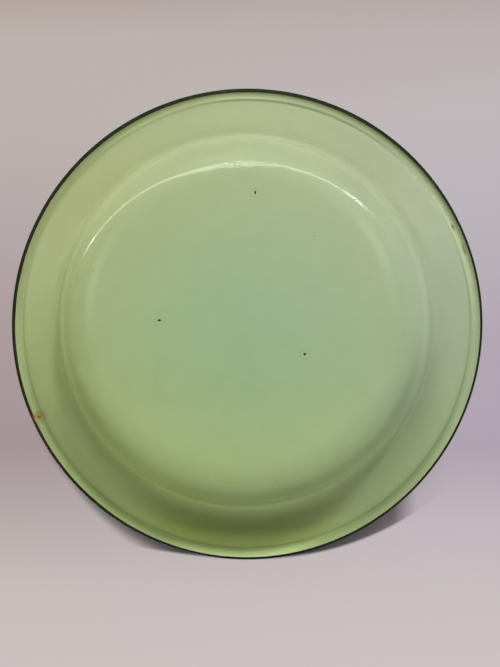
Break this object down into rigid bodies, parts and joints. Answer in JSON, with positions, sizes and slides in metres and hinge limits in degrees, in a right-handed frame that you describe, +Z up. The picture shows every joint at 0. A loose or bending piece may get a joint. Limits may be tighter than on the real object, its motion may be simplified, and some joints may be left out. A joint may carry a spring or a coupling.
{
  "type": "round enamelled developing tray",
  "caption": "Shallow round enamelled steel developing tray with flat base, rounded wall, wide sloping brim and turned-down dark-edged lip.",
  "frame": {"origin": "middle of the underside of the base, on the surface that the tray stands on", "axes": "+Z up, out of the open side of the tray; +Y towards the firing-pin mark that lies nearest the brim; +X completes the right-handed frame"},
  "size_m": [0.3, 0.3, 0.0324],
  "materials": {
    "sheet_steel": "pickled low-carbon sheet, hidden under the enamel",
    "ground_coat": "near-black vitreous ground coat, gloss",
    "green_enamel_under": "pale jade green vitreous enamel, gloss",
    "green_enamel_inside": "pale jade green vitreous enamel, gloss",
    "dark_edge_enamel": "near-black green vitreous enamel, gloss"
  },
  "bodies": {
    "root": {"pressed_steel_sheet": "sheet_steel", "ground_coat_underside": "ground_coat", "ground_coat_inside": "ground_coat", "green_enamel_underside": "green_enamel_under", "green_enamel_inside": "green_enamel_inside", "dark_enamel_edge": "dark_edge_enamel"}
  },
  "joints": []
}
